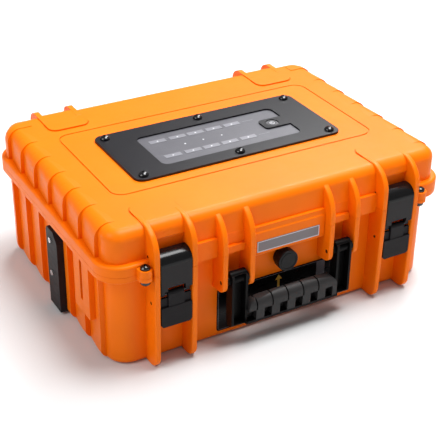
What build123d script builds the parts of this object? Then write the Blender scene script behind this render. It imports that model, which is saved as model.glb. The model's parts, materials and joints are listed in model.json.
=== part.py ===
from build123d import *
import os

# Power station built into a hinged, latched equipment case.
# +Z is up, -Y is the latch side, the origin is the bottom centre of the whole object.

# ---- driving dimensions, millimetres ----
WIDTH = 470.0          # over the rim, along X
FRONT_MOST = -6.0      # front of the handle grip, measured behind the tall rib fronts
BACK_MOST = 366.0      # back of the hinge knuckles, measured the same way
PART_Z = 129.0         # parting plane between base and lid
PART_GAP = 0.4         # air gap at the parting plane
LID_TOP = 181.0        # flat top of the lid
CREST_Z = 182.6        # crest of the tall ribs on the lid
PAD_Z = 182.4          # raised pads between each pair of tall ribs
WALL = 4.0             # moulded wall thickness
RIM_CORNER = 32.0      # corner radius of the rim in plan
RIM_FRONT, RIM_BACK = 14.0, 358.0      # rim, measured behind the rib fronts
BASE_FRONT, BASE_BACK = 26.0, 346.0    # outer base walls
LID_FRONT, LID_BACK = 22.0, 348.0      # outer lid walls
LID_EDGE = 13.0        # rounding of the top edge of the lid
BASE_HALF = 221.0      # outer side wall of the base
LID_HALF = 225.0       # outer side wall of the lid between its flutes
FLUTE_PITCH = 44.8     # spacing of the side flutes
FLUTE_FIRST = 50.2     # front step of the foremost flute
TALL_X = (130.3, 177.2)   # centres of the tall ribs each side
SMALL_X = (54.8, 90.9)    # centres of the handle ribs each side
RIB = 7.0              # rib thickness
LATCH_X = 153.75       # centre of each latch
LATCH_W = 38.8         # latch width
LINK_PIN = (18.0, 146.0)   # depth, height of the pin the latch swings on
LEVER_PIN = (5.6, 99.8)    # depth, height of the knuckle pin of the latch lever
CATCH_PIN = (11.6, 88.2)   # depth, height of the catch pin in the base
HANDLE_PIN = (6.0, 91.4)   # depth, height of the handle pivot
HINGE_PIN = (360.5, 129.0)  # depth, height of the lid hinge
HINGE_R = 5.5          # hinge knuckle radius
FIT = 0.06             # radial clearance of a running fit
PLATE = (288.0, 131.0, 3.0)    # display cover plate
PLATE_AT = 182.0       # plate centre, behind the rib fronts
RIB_ROUND = 1.8        # rounding of the exposed rib edges
BUTTON_X, BUTTON_D = 78.5, 180.0
COVER_SCREW_Z, COVER_SCREW_D = (98.0, 51.5), 177.3     # screws of the side cover
BAR_ROWS = (202.7, 160.2)      # centres of the two rows of light bars
BAR_X = (-75.0, -47.2, -21.6, 4.7, 31.2)
ROCKER_Z, ROCKER_TILT = 112.6, 9.0     # main switch pivot height and tilt when off
SIDES = (-1, 1)


def at_y(depth):
    """World Y of a plane a given depth behind the front faces of the tall ribs."""
    return depth - (FRONT_MOST + BACK_MOST) / 2


def outline(start, *steps):
    """Closed face in the YZ plane; a pair of points makes an arc through the first."""
    edges = []
    here = start
    for step in steps:
        if isinstance(step[0], tuple):
            edges.append(ThreePointArc(here, step[0], step[1]))
            here = step[1]
        else:
            edges.append(Line(here, step))
            here = step
    edges.append(Line(here, start))
    return make_face(edges)


def depth_outline(start, *steps):
    """The same, with depths behind the rib fronts in place of Y."""
    moved = []
    for step in steps:
        if isinstance(step[0], tuple):
            moved.append(tuple((at_y(d), z) for d, z in step))
        else:
            moved.append((at_y(step[0]), step[1]))
    return outline((at_y(start[0]), start[1]), *moved)


def along_x(face, x0, x1):
    return extrude(Plane.YZ.offset(x0) * face, amount=x1 - x0)


def rib(face, x, exposed):
    """Rib centred on x; the outline edges that the test picks out are rounded."""
    body = along_x(face, x - RIB / 2, x + RIB / 2)
    picked = []
    for edge in body.edges():
        middle = edge.position_at(0.5)
        ends = abs(edge.position_at(0).X - edge.position_at(1).X)
        if ends < 0.01 and exposed(middle.Y - at_y(0), middle.Z):
            picked.append(edge)
    return fillet(picked, RIB_ROUND)


def block(x0, x1, d0, d1, z0, z1):
    """Box between two X, two depths and two heights."""
    size = (x1 - x0, d1 - d0, z1 - z0)
    middle = ((x0 + x1) / 2, at_y((d0 + d1) / 2), (z0 + z1) / 2)
    return Pos(*middle) * Box(*size)


def slab(half, d0, d1, z0, z1, corner):
    """Plate or prism with rounded corners in plan, centred on X."""
    plan = Pos(0, at_y((d0 + d1) / 2), z0) * RectangleRounded(2 * half, d1 - d0, corner)
    return extrude(plan, amount=z1 - z0)


def upright(x, depth, z0, z1, radius):
    return Pos(x, at_y(depth), (z0 + z1) / 2) * Cylinder(radius, z1 - z0)


def cross(x0, x1, at, radius):
    """Cylinder along X at a (depth, height) position."""
    length = x1 - x0
    place = Pos((x0 + x1) / 2, at_y(at[0]), at[1]) * Rot(0, 90, 0)
    return place * Cylinder(radius, length)


def facing(x, depth0, depth1, z, radius):
    """Cylinder along Y between two depths."""
    place = Pos(x, at_y((depth0 + depth1) / 2), z) * Rot(90, 0, 0)
    return place * Cylinder(radius, depth1 - depth0)


def domed(x, depth, z, radius, rim, crown):
    """Round head with a short straight rim under a domed crown, standing on height z."""
    face = make_face([
        Line((0, 0), (radius, 0)), Line((radius, 0), (radius, rim)),
        ThreePointArc((radius, rim), (radius * 0.62, rim + crown * 0.72), (0, rim + crown)),
        Line((0, rim + crown), (0, 0))])
    head = revolve(Plane.XZ * face, Axis.Z)
    return Pos(x, at_y(depth), z) * Rot(0, 0, 20) * head


def top_edges(solid):
    return solid.faces().sort_by(Axis.Z)[-1].edges()


def low_edges(solid):
    return solid.faces().sort_by(Axis.Z)[0].edges()


def flute_steps():
    return [FLUTE_FIRST + FLUTE_PITCH * i for i in range(7)]


def flute_teeth(wall, proud, z0, z1):
    """Saw-tooth bars on both sides: a square front step, then a slope back to the wall."""
    teeth = []
    for side in SIDES:
        for step in flute_steps():
            plan = make_face(Polyline(
                (side * (wall - 3), at_y(step)), (side * (wall + proud), at_y(step)),
                (side * wall, at_y(step + FLUTE_PITCH)),
                (side * (wall - 3), at_y(step + FLUTE_PITCH)), close=True))
            teeth.append(extrude(Pos(0, 0, z0) * plan, amount=z1 - z0))
    return teeth


def lid_flute(step, side):
    """Lid flute: a section proud of the wall and edge, lofted back to the plain lid section."""
    sections = []
    for depth, wall, top, bend in ((step, LID_HALF + 4.6, LID_TOP + 0.7, 17.5),
                                   (step + FLUTE_PITCH, LID_HALF - 0.2, LID_TOP - 0.2, LID_EDGE)):
        x = wall - bend
        z = top - bend
        slope = bend * 0.7071
        outer = [Line((196.0, 132.0), (wall + 0.6, 132.0)), Line((wall + 0.6, 132.0), (wall, z)),
                 ThreePointArc((wall, z), (x + slope, z + slope), (x, top)),
                 Line((x, top), (201.0, LID_TOP - 0.2)), Line((201.0, LID_TOP - 0.2), (196.0, LID_TOP - 0.6)),
                 Line((196.0, LID_TOP - 0.6), (196.0, 132.0))]
        section = make_face(outer)
        if side < 0:
            section = mirror(section, Plane.YZ)
        sections.append(Plane.XZ.offset(-at_y(depth)) * section)
    return loft(sections, ruled=True)


# ---- base moulding ----

def base_cavity():
    cavity = slab(BASE_HALF - WALL, BASE_FRONT + WALL, BASE_BACK - WALL, 5, PART_Z + 5, 22)
    return fillet(low_edges(cavity), 6)


def base_front_rib(x):
    """Tall rib below the parting plane, with a rounded toe."""
    face = depth_outline(
        (0.0, PART_Z - PART_GAP / 2), (1.9, 15.0), ((6.3, 4.8), (16.5, 0.3)), (34.0, 0.3),
        (34.0, PART_Z - PART_GAP / 2))
    return rib(face, x, lambda depth, z: depth < 10 and z < 128)


def base_back_rib(x):
    face = depth_outline(
        (338.0, 0.3), (350.0, 0.3), ((359.0, 4.4), (363.4, 14.0)), (365.0, 116.0),
        ((362.5, 120.5), (357.0, 122.2)), (338.0, 122.2))
    return rib(face, x, lambda depth, z: depth > 355 and z < 119)


def handle_rib(x):
    """Handle rib below the parting plane, ending in a round toe under the pivot."""
    face = depth_outline(
        (0.6, PART_Z - PART_GAP / 2), (0.9, 87.5), ((3.8, 79.9), (11.2, 76.4)), (28.0, 75.0),
        (28.0, PART_Z - PART_GAP / 2))
    return rib(face, x, lambda depth, z: depth < 20 and z < 128)


def base_knuckle(x0, x1):
    """Hinge ear standing up from the base rim."""
    ear = cross(x0, x1, HINGE_PIN, HINGE_R)
    foot = depth_outline(
        (344.0, 112.0), (355.0, 112.0), (366.0, 124.5), (366.0, 129.0), (355.0, 129.0),
        (355.0, 121.5), (344.0, 121.5))
    return ear + along_x(foot, x0, x1)


def base_shell():
    body = slab(BASE_HALF, BASE_FRONT, BASE_BACK, 0, PART_Z - PART_GAP / 2, 26)
    body = fillet(low_edges(body), 7)
    envelope = slab(BASE_HALF + 6.5, BASE_FRONT, BASE_BACK, 2, 122, 26)
    envelope = fillet(low_edges(envelope), 12)
    for tooth in flute_teeth(BASE_HALF, 6.5, 2, 122):
        body += tooth & envelope
    rim = slab(WIDTH / 2, RIM_FRONT, RIM_BACK, PART_Z - 8, PART_Z - PART_GAP / 2, RIM_CORNER)
    rim = fillet(low_edges(rim), 2)
    rim -= block(-126.8, 126.8, RIM_FRONT - 1, 18.4, 110, 140)
    body += rim
    for side in SIDES:
        for x in TALL_X:
            body += base_front_rib(side * x)
            body += base_back_rib(side * x)
        for x in SMALL_X:
            body += handle_rib(side * x)
        body += upright(side * 188.6, 8.2, 124.3, PART_Z - PART_GAP / 2, 8)
        lug_root = sorted((side * 180.6, side * 196.6))
        body += block(*lug_root, 8.2, 26, 124.3, PART_Z - PART_GAP / 2)
        pad = sorted((side * (BASE_HALF - 2), side * 232.0))
        body += block(*pad, 67.5, 109, 47, 121.5)
        slot = sorted((side * 223.5, side * 240.0))
        body -= block(*slot, 86, 92.5, 64, 119)
    body -= base_cavity()
    for side in SIDES:
        for x in (TALL_X[0] + 3.5 + 0.4, TALL_X[1] - 3.5 - 7.4):
            ear = sorted((side * x, side * (x + 7.0)))
            body += base_knuckle(*ear) - base_cavity()
            body -= cross(ear[0] - 1, ear[1] + 1, HINGE_PIN, 2.5)
        for x in TALL_X:
            body -= cross(side * x - 3.9, side * x + 3.9, HINGE_PIN, HINGE_R + 0.6)
        body -= upright(side * 188.6, 8.2, 120, 131, 3.8)
        body -= cross(*sorted((side * 124, side * 184)), CATCH_PIN, 2.0)
        body -= cross(*sorted((side * 48, side * 97)), HANDLE_PIN, 2.5)
    body -= facing(0, 20, 34, 91, 8.95)
    body -= block(-240, -BASE_HALF, 156.8, 189.9, -1, 113.4)
    body -= block(-225, -212, 165, 181, 30, 95)
    for boss_x in (-196, 196):
        for boss_d in (62, 310):
            body += upright(boss_x, boss_d, 4.5, 112, 6) - upright(boss_x, boss_d, 96, 113, 1.6)
    return body


# ---- lid moulding ----

def lid_cavity():
    cavity = slab(LID_HALF - WALL - 3, 30, LID_BACK - WALL, PART_Z - 1, LID_TOP - 3.5, 18)
    cavity = fillet(top_edges(cavity), 10)
    return cavity


def lid_front_rib(x):
    """Tall rib above the parting plane, sweeping from the top over the front."""
    face = depth_outline(
        (0.0, PART_Z + PART_GAP / 2), (0.3, 149.0), ((9.2, 173.8), (31.0, CREST_Z)),
        (46.0, CREST_Z), (52.0, LID_TOP - 1), (40.0, LID_TOP - 3), (24.0, PART_Z + PART_GAP / 2))
    return rib(face, x, lambda depth, z: depth < 12 and z > 130)


def lid_back_rib(x):
    """Tall rib at the back, ending in the knuckle that swings on the hinge pin."""
    face = depth_outline(
        (316.0, LID_TOP - 1), (320.0, CREST_Z),
        (345.0, CREST_Z), ((359.8, 178.4), (365.3, 165.0)), (366.0, HINGE_PIN[1]),
        ((360.5, HINGE_PIN[1] - HINGE_R), (355.0, HINGE_PIN[1])), (355.0, 134.0),
        (346.0, 134.0), (330.0, LID_TOP - 3))
    return along_x(face, x - RIB / 2, x + RIB / 2)


def lid_handle_rib(x):
    face = depth_outline(
        (0.6, PART_Z + PART_GAP / 2), (0.8, 138.0), ((7.0, 161.0), (21.0, 174.5)),
        (26.0, 170.0), (26.0, PART_Z + PART_GAP / 2))
    return rib(face, x, lambda depth, z: depth < 20 and z > 130)


def pad_groove(side, front):
    """Fine groove round the inner end of a pad, in the top of the lid."""
    x0, x1 = sorted((side * (TALL_X[0] - RIB / 2), side * (TALL_X[1] + RIB / 2)))
    y0, y1 = (48.0, 71.0) if front else (290.5, 314.0)
    inner = block(x0, x1, y0, y1, LID_TOP - 2, LID_TOP + 2)
    outer = block(x0 - 1.3, x1 + 1.3, y0 - (0 if front else 1.3), y1 + (1.3 if front else 0),
                  LID_TOP - 1.0, LID_TOP + 1)
    shapes = []
    for shape, radius in ((outer, 12.3), (inner, 11)):
        edges = shape.edges().filter_by(Axis.Z).sort_by(Axis.Y)
        shapes.append(fillet(edges[-2:] if front else edges[:2], radius))
    return shapes[0] - shapes[1]


def rib_pad(side, front):
    """Raised pad joining a pair of tall ribs; it rolls over the lid edge between them."""
    x0, x1 = sorted((side * (TALL_X[0] - RIB / 2), side * (TALL_X[1] + RIB / 2)))
    if front:
        roll = depth_outline(
            (23.6, 160.5), (20.0, 164.0), (20.6, 169.4), ((24.6, 178.6), (33.4, PAD_Z)),
            (80.0, PAD_Z), (80.0, LID_TOP - 3), (40.0, LID_TOP - 3), (28.0, 160.5))
        plan = block(x0, x1, 10, 71.0, 140, 200)
        corners = plan.edges().filter_by(Axis.Z).sort_by(Axis.Y)[-2:]
    else:
        roll = depth_outline(
            (280.0, LID_TOP - 3), (280.0, PAD_Z), (337.0, PAD_Z),
            ((346.0, 178.6), (350.0, 169.4)), (351.0, 156.0), (342.0, 156.0),
            (335.0, LID_TOP - 3))
        plan = block(x0, x1, 290.5, 360, 140, 200)
        corners = plan.edges().filter_by(Axis.Z).sort_by(Axis.Y)[:2]
    return along_x(roll, x0, x1) & fillet(corners, 11)


def label_boss():
    """Block for the front label; it hangs in front of the base rim."""
    face = depth_outline(
        (12.6, 110.4), (12.6, 139.0), (18.6, 147.5), (26.0, 147.5), (26.0, PART_Z + 1),
        (17.9, PART_Z + 0.2), (17.9, 109.0), (14.0, 109.0))
    return along_x(face, -50.5, 50.5)


def lid_nose():
    """Front wall of the lid between the inner tall ribs, slightly proud of the corners."""
    face = depth_outline(
        (17.8, PART_Z + PART_GAP / 2), (17.9, 147.0), (19.8, 169.0), ((23.4, 177.5), (32.0, LID_TOP)),
        (70.0, LID_TOP), (70.0, PART_Z + PART_GAP / 2))
    return along_x(face, -127, 127)


def lid_shell():
    body = slab(LID_HALF, LID_FRONT, LID_BACK, PART_Z + PART_GAP / 2, LID_TOP, 19)
    body = fillet(top_edges(body), LID_EDGE)
    envelope = slab(LID_HALF + 4.6, LID_FRONT, LID_BACK, PART_Z + 3, LID_TOP + 0.7, 24)
    envelope = fillet(top_edges(envelope), 17.5)
    for side in SIDES:
        for step in flute_steps()[:-1]:
            body += lid_flute(step, side)
        last = flute_steps()[-1]
        body += envelope & block(*sorted((side * 196.0, side * 240.0)), last, 360, 130, 190)
    body += lid_nose()
    rim = slab(WIDTH / 2, RIM_FRONT, RIM_BACK, PART_Z + PART_GAP / 2, 142, RIM_CORNER)
    body += fillet(top_edges(rim), 3)
    band = block(-126.3, 126.3, 13.8, 24, 122.6, 147)
    band -= block(-130, 130, 17.9, 30, 110, PART_Z + PART_GAP / 2)
    for side in SIDES:
        for x in SMALL_X:
            band -= block(side * x - 4.0, side * x + 4.0, 12, 30, 110, PART_Z + PART_GAP / 2)
    body += band
    for side in SIDES:
        inner, outer = sorted((side * (SMALL_X[0] + 3.5), side * (SMALL_X[1] - 3.5)))
        body -= block(inner, outer, 12, 17.6, 131.5, 147.5)
        bay = sorted((side * (TALL_X[0] + 3), side * (TALL_X[1] - 3)))
        body -= block(*bay, 0, 23.6, 140.6, 160.5)
        body += rib_pad(side, True)
        body += rib_pad(side, False)
        body -= pad_groove(side, True)
        body -= pad_groove(side, False)
        lug_root = sorted((side * 180.6, side * 196.6))
        body += upright(side * 188.6, 8.2, PART_Z + PART_GAP / 2, 138.4, 8)
        body += block(*lug_root, 8.2, 24, PART_Z + PART_GAP / 2, 138.4)
    body += label_boss()
    body -= lid_cavity()
    for side in SIDES:
        for x in TALL_X:
            body += lid_front_rib(side * x)
            body += lid_back_rib(side * x)
            body -= cross(side * x - 4, side * x + 4, HINGE_PIN, 2.5 + FIT)
        for x in SMALL_X:
            body += lid_handle_rib(side * x)
        for x in (TALL_X[0] + 3.5 + 0.4, TALL_X[1] - 3.5 - 7.4):
            ear = sorted((side * (x - 0.4), side * (x + 7.4)))
            body -= cross(*ear, HINGE_PIN, HINGE_R + 0.6)
        body -= cross(*sorted((side * 126, side * 182)), LINK_PIN, 2.0)
        body -= upright(side * 188.6, 8.2, 128, 140, 3.0)
    body -= top_groove()
    body -= upright(BUTTON_X, BUTTON_D, 179, 182, 9.6)
    body -= upright(BUTTON_X, BUTTON_D, 170, 182, 3.6)
    for x, depth_at in plate_screw_spots():
        body -= upright(x, depth_at, 170, 190, 2.0)
    body -= gasket_ring()
    return body


def top_groove():
    """Shallow engraved line framing the middle of the lid."""
    outer = slab(181.9, 98.7, 276.3, LID_TOP - 1.3, LID_TOP + 1, 17)
    inner = slab(179.9, 100.7, 274.3, LID_TOP - 2, LID_TOP + 2, 15)
    return outer - inner


def gasket_ring():
    """Seal between lid and base, recessed into the underside of the lid rim."""
    z0 = PART_Z + PART_GAP / 2
    outer = slab(231.0, 19.0, 354.0, z0, PART_Z + 3.2, 28)
    inner = slab(227.0, 23.0, 350.0, z0 - 1, PART_Z + 5, 24)
    return outer - inner


# ---- hinge, latches, handle ----

def hinge_pins():
    reach = TALL_X[1] + RIB / 2 + 0.2
    start = TALL_X[0] - RIB / 2 - 0.2
    return [cross(*sorted((s * start, s * reach)), HINGE_PIN, 2.5) for s in SIDES]


def catch_pins():
    return [cross(*sorted((s * 126.9, s * 180.6)), CATCH_PIN, 2.0) for s in SIDES]


def link_pins():
    return [cross(*sorted((s * 126.9, s * 180.6)), LINK_PIN, 2.0) for s in SIDES]


def latch_link(side):
    """Upper half of a latch: hub on the lid pin, flat top, rolled front and plate."""
    x0, x1 = side * LATCH_X - LATCH_W / 2, side * LATCH_X + LATCH_W / 2
    skin = depth_outline(
        (18.0, 151.0), (14.2, 151.0), ((4.3, 147.3), (0.2, 138.0)), (0.5, 105.2),
        (4.2, 105.2), (4.2, 137.0), ((7.4, 144.4), (14.2, 147.0)), (18.0, 147.0))
    body = along_x(skin, x0, x1)
    body += cross(x0, x1, LINK_PIN, 5.0)
    notch = side * LATCH_X
    body -= block(notch - 11, notch + 11, -5, 4.21, 100, 110)
    for x in (x0 + 1.6, x1 - 6.2):
        arm = depth_outline(
            (4.0, 125.0), (4.0, 105.2), (4.0, 99.8), ((7.0, 96.8), (9.2, 99.8)), (9.2, 125.0))
        arm = along_x(arm, x, x + 4.6)
        body += arm
    body -= cross(x0 - 1, x1 + 1, LINK_PIN, 2.0 + FIT)
    body -= cross(x0 - 1, x1 + 1, LEVER_PIN, 1.5)
    return body


def lever_pin(side):
    x0, x1 = side * LATCH_X - LATCH_W / 2, side * LATCH_X + LATCH_W / 2
    return cross(x0 + 1.7, x1 - 1.7, LEVER_PIN, 1.5)


def latch_lever(side):
    """Lower half of a latch: pull plate with a tongue and knuckle."""
    middle = side * LATCH_X
    x0, x1 = middle - LATCH_W / 2, middle + LATCH_W / 2
    plate = block(x0, x1, 0.9, 6.2, 57.5, 83.5)
    corners = plate.edges().filter_by(Axis.Y).group_by(Axis.Z)[0]
    plate = fillet(corners, 4)
    backing = block(x0, x1, 3.6, 6.2, 80, 95.2)
    plate += backing
    tongue = block(middle - 10, middle + 10, 1.6, 6.2, 80, 99.8)
    knuckle = cross(middle - 10, middle + 10, LEVER_PIN, 3.6)
    body = plate + tongue + knuckle
    body -= cross(x0 - 1, x1 + 1, LEVER_PIN, 1.5 + FIT)
    return body


def handle_arms():
    """Moulded carrier of the handle: two channel arms and the lower bar."""
    parts = []
    for side in SIDES:
        centre = side * 72.8
        face = depth_outline(
            (-1.6, 98.8), (-1.6, 34.0), ((0.2, 29.4), (4.8, 27.6)), (9.0, 28.2),
            (11.4, 34.0), (12.2, 98.6), (9.4, 101.8), (6.4, 102.4), ((3.0, 101.6), (1.2, 99.4)))
        arm = along_x(face, centre - 10.6, centre + 10.6)
        arm -= block(centre - 7.5, centre + 7.5, -3, 8.8, 31.5, 99.2)
        hub = cross(centre - 14.2, centre + 14.2, HANDLE_PIN, 5.0)
        parts.append(arm + hub)
    bar = depth_outline((-5.2, 30.4), (-5.2, 33.5), (9.6, 33.5), (9.6, 28.8), (-3.4, 28.6))
    joined = parts[0] + parts[1] + along_x(bar, -64.0, 64.0)
    for side in SIDES:
        joined -= cross(side * 72.8 - 20, side * 72.8 + 20, HANDLE_PIN, 2.5 + FIT)
    return joined


def handle_grip():
    """Ribbed grip body, crowned along its length, one rounded lobe per finger position."""
    section = depth_outline(
        (-5.4, 33.5), (-6.0, 51.0), ((-3.7, 58.4), (2.4, 62.2)), ((6.0, 61.8), (8.6, 58.4)),
        (9.6, 50.0), (9.6, 33.5))
    grip = along_x(section, -62.2, 62.2)
    crown = outline(
        (-62.2, 30.0), (-62.2, 46.5), ((-60.0, 55.0), (-51.0, 59.6)), ((0.0, 62.6), (51.0, 59.6)),
        ((60.0, 55.0), (62.2, 46.5)), (62.2, 30.0))
    grip &= extrude(Plane.XZ.offset(30 - at_y(0)) * crown, amount=-60)
    for i in range(6):
        x = -57.3 + 21.6 * i
        grip -= block(x - 5.2, x + 5.2, -9, 4.0, 33.0, 47.2)
    for i in range(5):
        x = -51.2 + 21.6 * i
        ring = depth_outline(
            (-9.0, 46.8), (-9.0, 70.0), (14.0, 70.0), (14.0, 56.0), (8.0, 56.0), (5.4, 59.4),
            (2.0, 59.6), (-2.0, 56.4), (-3.8, 51.0), (-3.8, 46.8))
        grip -= along_x(ring, x - 0.9, x + 0.9)
    return grip


def handle_pins():
    pins = []
    for side in SIDES:
        reach = sorted((side * (SMALL_X[0] - 3.3), side * (SMALL_X[1] + 3.3)))
        pins.append(cross(*reach, HANDLE_PIN, 2.5))
    return pins


# ---- fittings on the outside ----

def pressure_valve():
    disc = fillet(facing(0, 10, 21, 91, 13.5).edges(), 0.9)
    neck = facing(0, 21, 26, 91, 11.6)
    stem = facing(0, 26, 33, 91, 8.95)
    groove = facing(0, 9.6, 10.7, 91, 10.9) - facing(0, 9.0, 11.0, 91, 10.0)
    return disc + neck + stem - groove


def lower_plate():
    plate = block(-88, 80, BASE_FRONT - 0.8, BASE_FRONT, 9, 68)
    return fillet(plate.edges().filter_by(Axis.Y), 3)


def front_label():
    return block(-43, 43, 12.0, 12.6, 113.5, 128)


def side_cover():
    """Hollow trapezoid cover over the slot in the left wall, open at the bottom."""
    outer = depth_outline(
        (157.0, 4.0), (157.0, 101.0), (168.0, 113.0), (186.5, 113.0), (189.8, 108.0), (189.8, 4.0))
    inner = depth_outline(
        (159.4, 0.0), (159.4, 100.2), (169.2, 110.7), (185.3, 110.7), (187.4, 107.2), (187.4, 0.0))
    body = along_x(outer, -233.8, -BASE_HALF) - along_x(inner, -231.2, -BASE_HALF + 1)
    for z in COVER_SCREW_Z:
        post = Pos(-226.6, at_y(COVER_SCREW_D), z) * Rot(0, 90, 0) * Cylinder(4.0, 11.2)
        body += post
        body -= Pos(-227.0, at_y(COVER_SCREW_D), z) * Rot(0, 90, 0) * Cylinder(1.6, 20.0)
    return body


def side_cover_screws():
    screws = []
    for z in COVER_SCREW_Z:
        place = Pos(0, at_y(COVER_SCREW_D), z) * Rot(0, 90, 0)
        head = Pos(-234.4, 0, 0) * place * Cylinder(3.6, 1.2)
        shank = Pos(-227.5, 0, 0) * place * Cylinder(1.55, 12.6)
        recess = Pos(-235.0, at_y(COVER_SCREW_D), z) * (Box(1.0, 3.8, 0.9) + Box(1.0, 0.9, 3.8))
        screws.append(head + shank - recess)
    return screws


def lug_bolts():
    bolts = []
    for side in SIDES:
        x = side * 188.6
        shank = upright(x, 8.2, 130.4, 139.4, 3.0)
        socket = extrude(Pos(x, at_y(8.2), 140.8) * RegularPolygon(2.0, 6), amount=4)
        bolts.append(domed(x, 8.2, 138.4, 5.8, 2.2, 2.8) + shank - socket)
    return bolts


def lug_nuts():
    nuts = []
    for side in SIDES:
        x = side * 188.6
        body = upright(x, 8.2, 118.2, 124.3, 5.8)
        body = fillet(low_edges(body), 2.6)
        stub = upright(x, 8.2, 124.0, 127.6, 3.8)
        nuts.append(body + stub)
    return nuts


# ---- display on the lid ----

def window_cut():
    """Window outline: a rounded rectangle with a tongue reaching in from the right."""
    frame = slab(98.5, 138.5, 220.0, LID_TOP - 5, LID_TOP + 8, 9)
    tongue = block(63.0, 120.0, 167.5, 192.0, LID_TOP - 6, LID_TOP + 9)
    tongue = fillet(tongue.edges().filter_by(Axis.Z), 5)
    return frame - tongue


def display_plate():
    width, depth, thick = PLATE
    plate = slab(width / 2, PLATE_AT - depth / 2, PLATE_AT + depth / 2, LID_TOP, LID_TOP + thick, 12)
    plate = chamfer(top_edges(plate), 0.4)
    plate -= window_cut()
    plate -= upright(BUTTON_X, BUTTON_D, 170, 200, 8.6)
    for x, depth_at in plate_screw_spots():
        plate -= upright(x, depth_at, 170, 200, 2.1)
    return plate


def plate_screw_spots():
    return [(x, PLATE_AT + d) for x in (-131.0, 0.0, 131.0) for d in (-54.5, 54.5)]


def plate_screws():
    screws = []
    for x, depth_at in plate_screw_spots():
        shank = upright(x, depth_at, 172.5, 184.5, 2.0)
        socket = extrude(Pos(x, at_y(depth_at), 186.6) * RegularPolygon(2.0, 6), amount=3)
        screws.append(domed(x, depth_at, 184.0, 6.2, 1.6, 3.0) + shank - socket)
    return screws


def display_membrane():
    sheet = window_cut() & block(-110, 110, 130, 230, LID_TOP, LID_TOP + 1.0)
    return sheet


def light_bars():
    bars = []
    for row in BAR_ROWS:
        for x in BAR_X:
            bars.append(block(x - 11.2, x + 11.2, row - 4.2, row + 4.2, LID_TOP + 1.0, LID_TOP + 1.3))
    return bars


def power_button():
    cap = upright(BUTTON_X, BUTTON_D, 181.2, 183.2, 8.2)
    cap = fillet(top_edges(cap), 0.5)
    ring = upright(BUTTON_X, BUTTON_D, 182.8, 184, 6.2) - upright(BUTTON_X, BUTTON_D, 182, 185, 5.6)
    stem = upright(BUTTON_X, BUTTON_D, 171.2, 181.3, 3.0)
    return cap + stem - ring


def display_board():
    """Circuit board under the display with the button switch below the stem."""
    board = slab(100, 146, 218, 164.0, 165.6, 3)
    switch = block(BUTTON_X - 3.5, BUTTON_X + 3.5, BUTTON_D - 3.5, BUTTON_D + 3.5, 165.6, 169.6)
    body = board + switch
    for x in (-92, 92):
        for depth_at in (152, 212):
            body += upright(x, depth_at, 165.6, LID_TOP - 3.5, 3.0)
    return body


# ---- inside the base ----

def deck_panel():
    deck = slab(210, 38, 334, 112.0, 115.0, 18)
    for cut in deck_cuts():
        deck -= cut
    for x in (-196, 196):
        for depth_at in (62, 310):
            deck -= upright(x, depth_at, 105, 120, 2.0)
    return deck


def deck_cuts():
    cuts = [upright(x, 120, 100, 125, 24.6) for x in (-140, -60)]
    cuts.append(upright(20, 120, 100, 125, 14.6))
    cuts.append(block(57.9, 114.1, 101.9, 138.1, 100, 125))
    cuts.append(block(139.9, 168.1, 107.9, 132.1, 100, 125))
    cuts.append(upright(150, 240, 100, 125, 16.6))
    return cuts


def deck_screws():
    screws = []
    for x in (-196, 196):
        for depth_at in (62, 310):
            head = fillet(top_edges(upright(x, depth_at, 115.0, 117.4, 3.8)), 1.0)
            shank = upright(x, depth_at, 98.0, 115.0, 1.58)
            slot = Pos(x, at_y(depth_at), 117.4) * (Box(4.4, 0.9, 1.6) + Box(0.9, 4.4, 1.6))
            screws.append(head + shank - slot)
    return screws


def ac_sockets():
    """Two round earthed mains outlets: flange, deep well, two pin holes, two clips."""
    sockets = []
    for x in (-140, -60):
        flange = fillet(top_edges(upright(x, 120, 115.0, 118.0, 29.0)), 1.2)
        cup = upright(x, 120, 90.0, 115.0, 24.5)
        well = upright(x, 120, 99.0, 119.0, 20.0)
        body = flange + cup - well
        for pin in (-9.5, 9.5):
            body -= upright(x + pin, 120, 92.0, 100.0, 2.6)
        for clip in (-1, 1):
            body += block(x - 2.5, x + 2.5, 120 + clip * 19.0 - 1.2, 120 + clip * 19.0 + 1.2, 98.5, 115)
        sockets.append(body)
    return sockets


def dc_socket():
    flange = fillet(top_edges(upright(20, 120, 115.0, 117.6, 18.0)), 1.0)
    body = flange + upright(20, 120, 80.0, 115.0, 14.5)
    body -= upright(20, 120, 86.0, 120.0, 10.6)
    return body


def usb_module():
    body = block(54, 118, 98, 142, 115.0, 117.0)
    body = fillet(body.edges().filter_by(Axis.Z), 4)
    body += block(58, 114, 102, 138, 92.0, 115.0)
    for x in (70, 86, 102):
        body -= block(x - 2.4, x + 2.4, 112, 126, 104.0, 120.0)
        body += block(x - 1.0, x + 1.0, 113.5, 124.5, 103.0, 114.0)
    return body


def switch_frame():
    body = block(136, 172, 104, 136, 115.0, 117.0)
    body = fillet(body.edges().filter_by(Axis.Z), 3)
    body += block(140, 168, 108, 132, 94.0, 115.0)
    body -= block(142.4, 165.6, 110.6, 129.4, 98.0, 120.0)
    return body - facing(154, 108.8, 131.2, ROCKER_Z, 1.2)


def rocker():
    """Main switch rocker, a shallow V in side view, pivoting across the deck."""
    face = make_face(Polyline(
        (-10.0, 5.2), (0.0, 3.2), (10.0, 5.2), (7.4, -4.0), (-7.4, -4.0), close=True))
    body = extrude(Plane.XZ.offset(-8.9) * face, amount=17.8)
    body = Pos(154, at_y(120), ROCKER_Z) * Rot(0, -ROCKER_TILT, 0) * body
    return body - facing(154, 108, 132, ROCKER_Z, 1.2 + FIT)


def rocker_pin():
    return facing(154, 109.0, 131.0, ROCKER_Z, 1.2)


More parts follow.
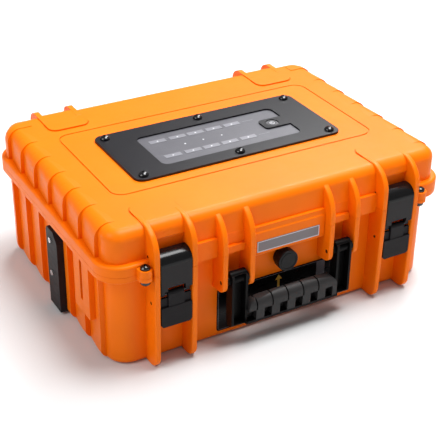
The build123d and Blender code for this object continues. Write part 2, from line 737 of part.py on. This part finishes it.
def charge_inlet():
    flange = fillet(top_edges(upright(150, 240, 115.0, 117.6, 20.0)), 1.0)
    body = flange + upright(150, 240, 88.0, 115.0, 16.5)
    body -= upright(150, 240, 96.0, 120.0, 11.0)
    for x, d in ((-5.0, 2.6), (5.0, 2.6), (0.0, -5.2)):
        body += upright(150 + x, 240 + d, 95.5, 110.0, 1.3)
    return body


def battery_cells():
    """Row of prismatic cells with terminals."""
    cells = []
    for i in range(8):
        x = -176.0 + 28.6 * i
        cell = block(x, x + 27.0, 190, 330, 10, 84)
        cell = fillet(cell.edges().filter_by(Axis.Z), 2)
        for d in (215, 305):
            cell += upright(x + 13.5, d, 84, 87, 5.0)
        cells.append(cell)
    return cells


def cell_busbars():
    bars = []
    for i in range(7):
        depth_at = 215 if i % 2 == 0 else 305
        x = -162.5 + 28.6 * i
        bars.append(block(x - 5, x + 33.6, depth_at - 6, depth_at + 6, 87, 88.5))
    return bars


def battery_tray():
    tray = block(-182, 60, 184, 336, 5, 40)
    tray -= block(-177, 53.8, 189, 331, 10, 50)
    return tray


def inverter():
    """Inverter housing with a finned heat sink on top."""
    body = block(78, 186, 150, 334, 5, 60)
    body = fillet(body.edges().filter_by(Axis.Z), 3)
    return body


def heat_sink():
    body = block(84, 180, 160, 324, 60, 65)
    for i in range(10):
        x = 86 + 10.0 * i
        body += block(x, x + 2.0, 160, 324, 65, 84)
    return body


def control_board():
    board = block(-180, 60, 60, 170, 12, 13.6)
    body = board
    for i in range(4):
        x = -150 + 56 * i
        body += block(x, x + 30, 70, 90, 13.6, 24)
        body += upright(x + 15, 140, 13.6, 40, 9.0)
    for x in (-174, 54):
        for d in (66, 164):
            body += upright(x, d, 5, 12, 4.0)
    return body


NODES = {
    "base_shell": base_shell,
    "lid_shell": lid_shell,
    "lid_gasket": gasket_ring,
    "hinge_pins": hinge_pins,
    "catch_pins": catch_pins,
    "latch_hinge_pins": link_pins,
    "latch_link_left": lambda: latch_link(-1),
    "latch_link_right": lambda: latch_link(1),
    "latch_lever_left": lambda: latch_lever(-1),
    "latch_lever_right": lambda: latch_lever(1),
    "lever_pin_left": lambda: lever_pin(-1),
    "lever_pin_right": lambda: lever_pin(1),
    "handle_frame": handle_arms,
    "handle_grip": handle_grip,
    "handle_pins": handle_pins,
    "pressure_valve": pressure_valve,
    "lower_plate": lower_plate,
    "front_label": front_label,
    "side_cover": side_cover,
    "side_cover_screws": side_cover_screws,
    "lug_bolts": lug_bolts,
    "lug_nuts": lug_nuts,
    "display_plate": display_plate,
    "plate_screws": plate_screws,
    "display_membrane": display_membrane,
    "light_bars": light_bars,
    "power_button": power_button,
    "display_board": display_board,
    "deck_panel": deck_panel,
    "deck_screws": deck_screws,
    "ac_sockets": ac_sockets,
    "dc_socket": dc_socket,
    "usb_module": usb_module,
    "switch_frame": switch_frame,
    "switch_rocker": rocker,
    "rocker_pin": rocker_pin,
    "charge_inlet": charge_inlet,
    "battery_cells": battery_cells,
    "cell_busbars": cell_busbars,
    "battery_tray": battery_tray,
    "inverter": inverter,
    "heat_sink": heat_sink,
    "control_board": control_board,
}


def main():
    os.makedirs("parts", exist_ok=True)
    for name, make in NODES.items():
        made = make()
        solids = made if isinstance(made, list) else [made]
        flat = [s for item in solids for s in item.solids()]
        shape = flat[0] if len(flat) == 1 else Compound(children=flat)
        export_step(shape, "parts/" + name + ".step")
        box = shape.bounding_box()
        print(name, len(flat), "solids", [round(v, 1) for v in (*box.min, *box.max)])


main()
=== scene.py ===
import bpy
import bmesh
import json
import math
from mathutils import Matrix, Vector


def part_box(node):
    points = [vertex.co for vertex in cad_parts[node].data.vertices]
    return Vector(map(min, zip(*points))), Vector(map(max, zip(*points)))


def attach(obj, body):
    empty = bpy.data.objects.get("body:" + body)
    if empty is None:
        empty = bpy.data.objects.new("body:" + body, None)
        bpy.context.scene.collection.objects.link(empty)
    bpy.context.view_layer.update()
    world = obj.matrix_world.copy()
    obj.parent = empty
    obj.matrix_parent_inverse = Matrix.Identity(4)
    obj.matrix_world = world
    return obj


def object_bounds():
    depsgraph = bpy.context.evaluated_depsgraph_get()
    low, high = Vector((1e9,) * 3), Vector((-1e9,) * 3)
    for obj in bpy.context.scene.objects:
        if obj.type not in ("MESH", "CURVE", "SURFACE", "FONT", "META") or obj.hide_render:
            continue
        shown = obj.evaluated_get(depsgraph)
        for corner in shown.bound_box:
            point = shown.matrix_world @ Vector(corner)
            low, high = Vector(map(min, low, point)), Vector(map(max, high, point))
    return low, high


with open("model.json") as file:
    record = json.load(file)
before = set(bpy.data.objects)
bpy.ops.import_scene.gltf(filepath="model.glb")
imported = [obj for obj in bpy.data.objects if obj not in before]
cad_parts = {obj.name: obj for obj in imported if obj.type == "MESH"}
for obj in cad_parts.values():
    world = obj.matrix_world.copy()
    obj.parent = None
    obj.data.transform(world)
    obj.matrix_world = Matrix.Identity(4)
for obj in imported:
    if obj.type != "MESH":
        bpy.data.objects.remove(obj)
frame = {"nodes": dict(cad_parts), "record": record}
CAD_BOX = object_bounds()
NODES = frame["nodes"]
MM = 0.001
RIGHT, UP, BACK = (1, 0, 0), (0, 0, 1), (0, 1, 0)

# Camera, fitted to the object's edges: angles in degrees, distance and target in metres,
# lens and sensor in millimetres
CAM_AZIMUTH, CAM_ELEVATION, CAM_ROLL = -29.82, 30.1, 0.81
CAM_DISTANCE = 1.626
CAM_TARGET = Vector((0.0669, 0.1150, -0.0148))
CAM_LENS, SENSOR = 92.53, 36.0

# Lamps: azimuth and elevation in degrees, diameter in metres, power in watts
LAMPS = {
    "key": (70, 76, 1.4, 84),
    "sheen": (134, 46, 1.3, 52),
    "fill": (-88, 42, 1.4, 24),
}
LAMP_DISTANCE = 2.6                         # metres
LAMP_AIM = Vector((0, 0, 0.1))
WORLD_STRENGTH = 0.34

FLOOR_HALF = 8                              # metres
FLOOR_TONES = (0.64, 0.64, 0.642), (0.67, 0.67, 0.672)
FLOOR_CLOUD = 3.0                           # tone changes per metre

# Printed marks, in millimetres
PRINT = 0.05                                # thickness
ARROW = [(0, 9.4), (5.0, 2.4), (1.7, 2.4), (1.7, -9.0), (-1.7, -9.0), (-1.7, 2.4), (-5.0, 2.4)]
ARROW_SHIFT, ARROW_DROP = 1, 13             # right of the plate's middle, below its top
BADGE_SIDE, BADGE_DROP = 22.2, 15.8         # left of the plate's right end, below its top
BADGE_HALF_WIDTH, BADGE_HALF_HEIGHT, BADGE_CORNER = 6.2, 14.0, 1.2
PLATE_BORDER = (1.4, 3.0), (2.0, 2.4)       # inset and corner radius, outer and inner line
LABEL_BORDER = (0.3, 1.0), (1.2, 0.6)       # the same on the front label
RING_OUTER, RING_INNER, RING_STEPS = 3.3, 2.7, 28
STEM_HALF_WIDTH, STEM_HALF_LENGTH, STEM_CORNER = 0.35, 1.5, 0.3
STEM_SHIFT = 1.6                            # behind the button's middle
BAR_CENTRES = (11.2, 39.0, 64.6, 90.9, 117.4)       # lamp bars, from the row's left end
BAR_HALF_DEPTH = 4.2
DOT_RADIUS = 1.1
LINE_HALF_LENGTH, LINE_HALF_WIDTH, LINE_CORNER = 8.0, 0.4, 0.3
LINE_SHIFT = 12.5                           # right of the last bar

# Surfaces: noise scales are in features per metre
NOISE_LOW, NOISE_HIGH = 0.3, 0.7            # the part of a noise's range that is spread out
CLOUD_SCALE, RUB_SCALE = 14.0, 60.0         # soft tone shifts, rub marks
RUB_STRETCH = (1.0, 1.0, 3.0)
GRAIN_STRENGTH, COARSE_STRENGTH = 0.35, 0.2
COARSE_RATIO, COARSE_DEPTH = 6, 1.5         # the coarse grain: 6 times wider, 1.5 times as deep
LATCH_TEXTURE_TOP = 0.1385                  # height where the polished roll ends, metres
LATCH_TEXTURE_FADE = 0.0015
LATCH_POLISHED, LATCH_TEXTURED = (0.0035, 0.0035, 0.0038), (0.0085, 0.0065, 0.0072)
LATCH_ROUGH_POLISHED, LATCH_ROUGH_TEXTURED = 0.2, 0.5
METAL_MARKS, METAL_TONES = 900.0, 90.0      # machining marks, tone changes
METAL_SHADE = 0.82                          # the darker tone
METAL_SMOOTHER, METAL_ROUGHER = 0.06, 0.1   # change of roughness in the marks
MIX_FACTOR, MIX_A, MIX_B, MIX_RESULT = 0, 6, 7, 2   # sockets of a colour Mix node


# ---- materials ----

class Shader:
    """A node material built step by step around one Principled shader."""

    def __init__(self, name):
        self.material = bpy.data.materials.new(name)
        self.material.use_nodes = True
        self.tree = self.material.node_tree
        self.bsdf = self.tree.nodes["Principled BSDF"]
        self.coords = self.node("ShaderNodeTexCoord").outputs["Object"]

    def node(self, kind, **settings):
        made = self.tree.nodes.new(kind)
        for key, value in settings.items():
            setattr(made, key, value)
        return made

    def link(self, a, b):
        self.tree.links.new(a, b)

    def set(self, **sockets):
        for key, value in sockets.items():
            self.bsdf.inputs[key.replace("_", " ")].default_value = value

    def noise(self, scale, detail=3.0, rough=0.5, stretch=None):
        """Noise in object coordinates."""
        tex = self.node("ShaderNodeTexNoise")
        tex.inputs["Scale"].default_value = scale
        tex.inputs["Detail"].default_value = detail
        tex.inputs["Roughness"].default_value = rough
        source = self.coords
        if stretch:
            mapping = self.node("ShaderNodeMapping")
            mapping.inputs["Scale"].default_value = stretch
            self.link(source, mapping.inputs["Vector"])
            source = mapping.outputs["Vector"]
        self.link(source, tex.inputs["Vector"])
        return tex.outputs["Fac"]

    def ramp(self, value, low, high, out_low, out_high):
        """Maps low..high to out_low..out_high, clamped."""
        fit = self.node("ShaderNodeMapRange")
        for key, number in zip(("From Min", "From Max", "To Min", "To Max"),
                               (low, high, out_low, out_high)):
            fit.inputs[key].default_value = number
        self.link(value, fit.inputs["Value"])
        return fit.outputs["Result"]

    def spread(self, noise, out_low, out_high):
        """Maps the middle of a noise's range to out_low..out_high."""
        return self.ramp(noise, NOISE_LOW, NOISE_HIGH, out_low, out_high)

    def mix(self, factor, a, b):
        """Mixes two colours."""
        blend = self.node("ShaderNodeMix", data_type="RGBA")
        self.link(factor, blend.inputs[MIX_FACTOR])
        blend.inputs[MIX_A].default_value = (*a, 1.0)
        blend.inputs[MIX_B].default_value = (*b, 1.0)
        return blend.outputs[MIX_RESULT]

    def colour(self, socket):
        self.link(socket, self.bsdf.inputs["Base Color"])

    def roughness(self, socket):
        self.link(socket, self.bsdf.inputs["Roughness"])

    def bumps(self, *layers):
        """Stacks bump layers of (height socket, distance in metres, strength)."""
        last = None
        for height, distance, strength in layers:
            bump = self.node("ShaderNodeBump")
            bump.inputs["Distance"].default_value = distance
            bump.inputs["Strength"].default_value = strength
            self.link(height, bump.inputs["Height"])
            if last:
                self.link(last, bump.inputs["Normal"])
            last = bump.outputs["Normal"]
        self.link(last, self.bsdf.inputs["Normal"])


def plastic(name, colour, rough, shift=0.12, grain=1400.0, depth=3e-5, specular=0.5,
            rub_size=0.06):
    """Moulded plastic: soft tone shifts, a fine spark-eroded grain and faint rub marks.

    shift is the change of tone, grain the bumps per metre, depth their height in metres,
    and rub_size the change of roughness in the rub marks."""
    s = Shader(name)
    dark = tuple(c * (1.0 - shift) for c in colour)
    light = tuple(min(1.0, c * (1.0 + shift * 0.5)) for c in colour)
    s.colour(s.mix(s.spread(s.noise(CLOUD_SCALE, detail=2.0), 0.0, 1.0), dark, light))
    rub = s.noise(RUB_SCALE, detail=4.0, rough=0.6, stretch=RUB_STRETCH)
    s.roughness(s.spread(rub, rough - rub_size, rough + rub_size))
    s.bumps((s.noise(grain, detail=2.0), depth, GRAIN_STRENGTH),
            (s.noise(grain / COARSE_RATIO, detail=2.0), depth * COARSE_DEPTH, COARSE_STRENGTH))
    s.set(Specular_IOR_Level=specular)
    return s.material


def latch_skin(name, grain=1300.0, depth=2e-5, strength=0.3, specular=0.25):
    """Latch plastic: polished over the roll at the top, textured on the front below it."""
    s = Shader(name)
    split = s.node("ShaderNodeSeparateXYZ")
    s.link(s.coords, split.inputs["Vector"])
    lower = s.ramp(split.outputs["Z"], LATCH_TEXTURE_TOP - LATCH_TEXTURE_FADE,
                   LATCH_TEXTURE_TOP, 1.0, 0.0)
    s.colour(s.mix(lower, LATCH_POLISHED, LATCH_TEXTURED))
    s.roughness(s.ramp(lower, 0.0, 1.0, LATCH_ROUGH_POLISHED, LATCH_ROUGH_TEXTURED))
    s.bumps((s.noise(grain, detail=2.0), depth, strength))
    s.set(Specular_IOR_Level=specular)
    return s.material


def metal(name, colour, rough, brushed=(1.0, 1.0, 1.0), depth=2e-5, strength=0.3):
    """Metal with fine machining marks, packed by brushed along an axis, and two tones."""
    s = Shader(name)
    dark = tuple(c * METAL_SHADE for c in colour)
    marks = s.noise(METAL_MARKS, rough=0.6, stretch=brushed)
    s.colour(s.mix(s.spread(s.noise(METAL_TONES), 0.0, 1.0), dark, colour))
    s.roughness(s.spread(marks, rough - METAL_SMOOTHER, rough + METAL_ROUGHER))
    s.bumps((marks, depth, strength))
    s.set(Metallic=1.0)
    return s.material


orange = plastic("orange_moulding", (0.92, 0.172, 0.0004), rough=0.38, shift=0.05,
                 grain=1500.0, depth=2e-5, specular=0.13)
seal = plastic("seal_rubber", (0.006, 0.006, 0.006), rough=0.75)
pin_steel = metal("pin_steel", (0.62, 0.61, 0.60), rough=0.32, brushed=(8.0, 1.0, 1.0))
black_steel = plastic("blackened_screw", (0.003, 0.003, 0.004), rough=0.14, shift=0.1,
                      grain=700.0, depth=1e-5, specular=0.6)
latch_black = latch_skin("latch_upper")
lever_black = plastic("latch_lower", (0.009, 0.0075, 0.0085), rough=0.5, shift=0.15,
                      grain=1300.0, specular=0.15)
handle_black = plastic("handle_moulding", (0.0032, 0.003, 0.003), rough=0.40, shift=0.18,
                       grain=1200.0, specular=0.09)
grip_black = plastic("grip_rubber", (0.019, 0.0175, 0.0175), rough=0.5, shift=0.15,
                     grain=1000.0, specular=0.3)
valve_black = plastic("valve_moulding", (0.006, 0.006, 0.0065), rough=0.4, shift=0.15,
                      grain=1200.0, depth=2e-5, specular=0.18)
sticker = plastic("sticker_film", (0.003, 0.0026, 0.003), rough=0.3, shift=0.1,
                  grain=500.0, depth=1e-5, specular=0.15)
cover_black = plastic("cover_moulding", (0.011, 0.009, 0.011), rough=0.5,
                      grain=1300.0, specular=0.2)
screw_steel = metal("bright_screw", (0.80, 0.80, 0.80), rough=0.22)
plate_grey = plastic("display_cover", (0.0050, 0.0042, 0.0066), rough=0.30, shift=0.06,
                     grain=1800.0, depth=6e-6, specular=0.28, rub_size=0.02)
window_grey = plastic("display_film", (0.072, 0.070, 0.083), rough=0.36, shift=0.05,
                      grain=600.0, depth=6e-6)
bar_grey = plastic("light_bar", (0.17, 0.168, 0.19), rough=0.36, shift=0.06,
                   grain=700.0, depth=6e-6)
button_grey = plastic("button_cap", (0.055, 0.053, 0.06), rough=0.38, shift=0.06,
                      grain=900.0, depth=1e-5)
board = plastic("board_resin", (0.012, 0.10, 0.04), rough=0.35, shift=0.2,
                grain=300.0, depth=2e-5)
deck_black = plastic("deck_paint", (0.018, 0.018, 0.02), rough=0.55,
                     grain=900.0, depth=5e-5)
socket_black = plastic("socket_moulding", (0.02, 0.02, 0.021), rough=0.3, shift=0.15,
                       grain=1200.0, depth=1e-5)
switch_red = plastic("switch_moulding", (0.45, 0.01, 0.01), rough=0.22,
                     grain=800.0, depth=1e-5)
cell_blue = plastic("cell_wrap", (0.015, 0.07, 0.25), rough=0.3, shift=0.15,
                    grain=300.0, depth=2e-5)
copper = metal("copper_bar", (0.72, 0.36, 0.18), rough=0.28, brushed=(1.0, 6.0, 1.0))
tray_grey = plastic("tray_moulding", (0.07, 0.07, 0.075), rough=0.6)
alloy = metal("alloy_case", (0.52, 0.53, 0.55), rough=0.38, brushed=(1.0, 10.0, 1.0))
label_grey = plastic("label_print", (0.17, 0.15, 0.158), rough=0.4, shift=0.05,
                     grain=500.0, depth=8e-6)
white_print = plastic("white_print", (0.62, 0.62, 0.66), rough=0.4, shift=0.05,
                      grain=500.0, depth=8e-6)
grey_print = plastic("grey_print", (0.13, 0.125, 0.14), rough=0.4, shift=0.05,
                     grain=500.0, depth=8e-6)
yellow_print = plastic("yellow_print", (0.75, 0.44, 0.06), rough=0.4, shift=0.08,
                       grain=500.0, depth=8e-6)

FINISH = {
    "orange_shell": orange, "seal_rubber": seal, "steel_pin": pin_steel,
    "black_steel": black_steel, "latch_black": latch_black, "lever_black": lever_black,
    "handle_black": handle_black, "valve_black": valve_black, "sticker_black": sticker,
    "label_grey": label_grey, "cover_black": cover_black, "screw_steel": screw_steel,
    "plate_grey": plate_grey, "window_grey": window_grey, "bar_grey": bar_grey,
    "button_grey": button_grey, "board_green": board, "deck_black": deck_black,
    "socket_plastic": socket_black, "switch_red": switch_red, "cell_blue": cell_blue,
    "copper_bar": copper, "tray_grey": tray_grey, "inverter_case": alloy,
}
DARK_PINS = ("catch_pins", "latch_hinge_pins", "handle_pins", "lever_pin_left",
             "lever_pin_right")
NODE_FINISH = {"handle_grip": grip_black, **{pin: black_steel for pin in DARK_PINS}}


def finish_cad_nodes():
    """Gives each CAD node the finish of its slot, or its own where it has one."""
    for part in frame["record"]["subparts"]:
        shape = NODES[part["node"]]
        shape.data.materials.clear()
        finish = NODE_FINISH.get(part["node"], FINISH[part["material_slot"]])
        shape.data.materials.append(finish)


# ---- printed marks ----

def flat_piece(name, rings, origin, v, thickness, finish, body):
    """A thin raised shape on a face whose axes are RIGHT and v.

    rings holds an outline in millimetres and, for a frame or a ring, an inner outline."""
    origin, u, v = Vector(origin), Vector(RIGHT), Vector(v)
    normal = u.cross(v)
    mesh = bpy.data.meshes.new(name)
    bm = bmesh.new()
    loops = [[bm.verts.new(origin + u * (a * MM) + v * (b * MM)) for a, b in ring]
             for ring in rings]
    if len(loops) == 1:
        bm.faces.new(loops[0])
    else:
        outer, inner = loops
        count = len(outer)
        for i in range(count):
            j = (i + 1) % count
            bm.faces.new((outer[i], outer[j], inner[j], inner[i]))
    grown = bmesh.ops.extrude_face_region(bm, geom=bm.faces[:])["geom"]
    moved = [item for item in grown if isinstance(item, bmesh.types.BMVert)]
    bmesh.ops.translate(bm, verts=moved, vec=normal * (thickness * MM))
    bmesh.ops.recalc_face_normals(bm, faces=bm.faces[:])
    bm.to_mesh(mesh)
    bm.free()
    mesh.materials.append(finish)
    shape = bpy.data.objects.new(name, mesh)
    bpy.context.scene.collection.objects.link(shape)
    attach(shape, body)


def rounded(half_u, half_v, radius, steps=6):
    """Points of a rounded rectangle about the origin."""
    points = []
    for k, (cu, cv) in enumerate(((1, 1), (-1, 1), (-1, -1), (1, -1))):
        for i in range(steps + 1):
            turn = math.pi / 2 * (k + i / steps)
            points.append((cu * (half_u - radius) + radius * math.cos(turn),
                           cv * (half_v - radius) + radius * math.sin(turn)))
    return points


def disc(radius, steps=20):
    """Points of a circle about the origin."""
    turns = [2 * math.pi * i / steps for i in range(steps)]
    return [(radius * math.cos(turn), radius * math.sin(turn)) for turn in turns]


def border(low, high, lines):
    """The two outlines of a border on a plate's front, each with its inset and corner."""
    half_u, half_v = (high.x - low.x) / 2 / MM, (high.z - low.z) / 2 / MM
    return [rounded(half_u - inset, half_v - inset, radius) for inset, radius in lines]


def lower_plate_marks():
    """An arrow, a border line and a plain badge on the plate behind the handle."""
    low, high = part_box("lower_plate")
    centre = (low.x + high.x) / 2
    at = (centre + ARROW_SHIFT * MM, low.y, high.z - ARROW_DROP * MM)
    flat_piece("arrow_mark", [ARROW], at, UP, PRINT, yellow_print, "base")
    middle = (centre, low.y, (low.z + high.z) / 2)
    flat_piece("plate_border", border(low, high, PLATE_BORDER), middle, UP, PRINT,
               grey_print, "base")
    at = (high.x - BADGE_SIDE * MM, low.y, high.z - BADGE_DROP * MM)
    outline = rounded(BADGE_HALF_WIDTH, BADGE_HALF_HEIGHT, BADGE_CORNER)
    flat_piece("badge", [outline], at, UP, PRINT, grey_print, "base")


def label_marks():
    """A border line on the front label."""
    low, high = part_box("front_label")
    middle = ((low.x + high.x) / 2, low.y, (low.z + high.z) / 2)
    flat_piece("label_border", border(low, high, LABEL_BORDER), middle, UP, PRINT,
               white_print, "lid")


def button_marks():
    """A ring and a short bar on the button, the usual sign for power."""
    low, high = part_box("power_button")
    middle = ((low.x + high.x) / 2, (low.y + high.y) / 2, high.z)
    ring = [disc(RING_OUTER, RING_STEPS), disc(RING_INNER, RING_STEPS)]
    flat_piece("button_ring", ring, middle, BACK, PRINT, white_print, "button")
    stem = rounded(STEM_HALF_WIDTH, STEM_HALF_LENGTH, STEM_CORNER)
    at = (middle[0], middle[1] + STEM_SHIFT * MM, middle[2])
    flat_piece("button_bar", [stem], at, BACK, PRINT * 2, white_print, "button")


def display_marks():
    """A dot in each lamp bar, three dots between the rows and a short line beside each row."""
    low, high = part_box("light_bars")
    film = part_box("display_membrane")[1].z
    y_rows = (low.y + BAR_HALF_DEPTH * MM, high.y - BAR_HALF_DEPTH * MM)
    spots = [(low.x + at * MM, y, high.z) for y in y_rows for at in BAR_CENTRES]
    spots += [(low.x + at * MM, (low.y + high.y) / 2, film) for at in BAR_CENTRES[1:4]]
    for i, spot in enumerate(spots):
        flat_piece(f"lamp_dot_{i}", [disc(DOT_RADIUS)], spot, BACK, PRINT, white_print,
                   "lid")
    line = rounded(LINE_HALF_LENGTH, LINE_HALF_WIDTH, LINE_CORNER)
    for i, y in enumerate(y_rows):
        flat_piece(f"row_line_{i}", [line], (high.x + LINE_SHIFT * MM, y, film), BACK, PRINT,
                   bar_grey, "lid")


# ---- setting ----

def floor():
    """A wide pale floor under the object."""
    mesh = bpy.data.meshes.new("floor")
    shape = bpy.data.objects.new("floor", mesh)
    bpy.context.scene.collection.objects.link(shape)
    bm = bmesh.new()
    for x, y in ((-1, -1), (1, -1), (1, 1), (-1, 1)):
        bm.verts.new((x * FLOOR_HALF, y * FLOOR_HALF, CAD_BOX[0].z))
    bm.faces.new(bm.verts)
    bm.to_mesh(mesh)
    bm.free()
    s = Shader("pale_floor")
    s.colour(s.mix(s.noise(FLOOR_CLOUD), *FLOOR_TONES))
    s.set(Roughness=0.7, Specular_IOR_Level=0.1)
    mesh.materials.append(s.material)


def direction(azimuth, elevation):
    """The unit vector towards a place round the object; azimuth 0 is its front."""
    a, e = math.radians(azimuth), math.radians(elevation)
    return Vector((math.sin(a) * math.cos(e), -math.cos(a) * math.cos(e), math.sin(e)))


def soft_light(name, azimuth, elevation, size, power):
    data = bpy.data.lights.new(name, "AREA")
    data.shape, data.size, data.energy = "DISK", size, power
    light = bpy.data.objects.new(name, data)
    bpy.context.scene.collection.objects.link(light)
    back = direction(azimuth, elevation)
    light.location = LAMP_AIM + back * LAMP_DISTANCE
    light.rotation_euler = (-back).to_track_quat("-Z", "Y").to_euler()


def studio():
    """Even light all round and three soft lamps."""
    world = bpy.data.worlds.new("studio")
    world.use_nodes = True
    background = world.node_tree.nodes["Background"].inputs
    background["Color"].default_value = (1, 1, 1, 1)
    background["Strength"].default_value = WORLD_STRENGTH
    bpy.context.scene.world = world
    bpy.context.scene.view_settings.view_transform = "Standard"
    for name, settings in LAMPS.items():
        soft_light(name, *settings)


def camera():
    data = bpy.data.cameras.new("camera")
    data.lens, data.sensor_width = CAM_LENS, SENSOR
    shape = bpy.data.objects.new("camera", data)
    bpy.context.scene.collection.objects.link(shape)
    back = direction(CAM_AZIMUTH, CAM_ELEVATION)
    shape.location = CAM_TARGET + back * CAM_DISTANCE
    turn = (-back).to_track_quat("-Z", "Y").to_matrix().to_4x4()
    roll = Matrix.Rotation(math.radians(CAM_ROLL), 4, "Z")
    shape.rotation_euler = (turn @ roll).to_euler()
    bpy.context.scene.camera = shape


finish_cad_nodes()
lower_plate_marks()
label_marks()
button_marks()
display_marks()
floor()
studio()
camera()
